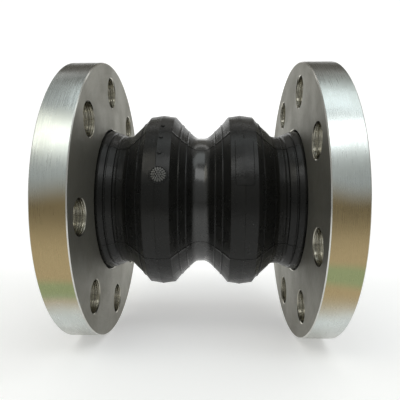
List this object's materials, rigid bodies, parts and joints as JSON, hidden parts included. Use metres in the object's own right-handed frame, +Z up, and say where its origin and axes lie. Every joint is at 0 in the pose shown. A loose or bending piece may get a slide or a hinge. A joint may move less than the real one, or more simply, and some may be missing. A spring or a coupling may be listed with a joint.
{
  "type": "rubber expansion joint",
  "caption": "Twin-sphere moulded rubber expansion joint with floating steel flanges, which takes up pipe movement and vibration.",
  "frame": {"origin": "centre of the object's box: on the pipe axis, midway between the two sealing faces", "axes": "+X along the pipe axis towards the right flange, +Z up as it lies on its flange rims, +Y away from the viewer"},
  "size_m": [0.165, 0.175, 0.175],
  "materials": {
    "zinc_steel": "turned, zinc plated",
    "cover_rubber": "satin moulded black rubber",
    "cord_carcass": "rubberised nylon cord",
    "liner_rubber": "smooth black rubber",
    "bead_wire": "hard drawn wire",
    "ring_steel": "drawn bar"
  },
  "bodies": {
    "left_flange": {"left_flange": "zinc_steel"},
    "left_end": {"left_end_cover": "cover_rubber", "left_end_carcass": "cord_carcass", "left_end_liner": "liner_rubber", "left_bead_ring": "bead_wire"},
    "left_arch": {"left_arch_cover": "cover_rubber", "left_arch_carcass": "cord_carcass", "left_arch_liner": "liner_rubber"},
    "centre": {"centre_cover": "cover_rubber", "centre_carcass": "cord_carcass", "centre_liner": "liner_rubber", "centre_ring": "ring_steel"},
    "right_arch": {"right_arch_cover": "cover_rubber", "right_arch_carcass": "cord_carcass", "right_arch_liner": "liner_rubber"},
    "right_end": {"right_end_cover": "cover_rubber", "right_end_carcass": "cord_carcass", "right_end_liner": "liner_rubber", "right_bead_ring": "bead_wire"},
    "right_flange": {"right_flange": "zinc_steel"}
  },
  "joints": [
    {"name": "left_flange_swivel", "type": "hinge", "parent": "left_flange", "child": "left_end", "pos_m": [-0.0595, 0, 0], "axis": [1, 0, 0], "continuous": true},
    {"name": "left_arch_axial", "type": "slide", "parent": "left_end", "child": "left_arch", "axis": [1, 0, 0], "range_m": [-0.025, 0.015], "stiffness_N_per_m": 60000, "deforming": ["left_end_cover", "left_end_carcass", "left_end_liner", "left_arch_cover", "left_arch_carcass", "left_arch_liner"]},
    {"name": "left_arch_bend", "type": "hinge", "parent": "left_arch", "child": "centre", "pos_m": [-0.014, 0, 0], "axis": [0, 1, 0], "range_deg": [-17.5, 17.5], "stiffness_Nm_per_rad": 300, "deforming": ["left_arch_cover", "left_arch_carcass", "left_arch_liner", "centre_cover", "centre_carcass", "centre_liner"]},
    {"name": "right_arch_bend", "type": "hinge", "parent": "centre", "child": "right_arch", "pos_m": [0.014, 0, 0], "axis": [0, 1, 0], "range_deg": [-17.5, 17.5], "stiffness_Nm_per_rad": 300, "deforming": ["centre_cover", "centre_carcass", "centre_liner", "right_arch_cover", "right_arch_carcass", "right_arch_liner"]},
    {"name": "right_arch_axial", "type": "slide", "parent": "right_arch", "child": "right_end", "axis": [1, 0, 0], "range_m": [-0.025, 0.015], "stiffness_N_per_m": 60000, "deforming": ["right_arch_cover", "right_arch_carcass", "right_arch_liner", "right_end_cover", "right_end_carcass", "right_end_liner"]},
    {"name": "right_flange_swivel", "type": "hinge", "parent": "right_end", "child": "right_flange", "pos_m": [0.0595, 0, 0], "axis": [1, 0, 0], "continuous": true}
  ],
  "couplings": [
    {"joint": "right_arch_axial", "follows": "left_arch_axial", "ratio": 1}
  ]
}
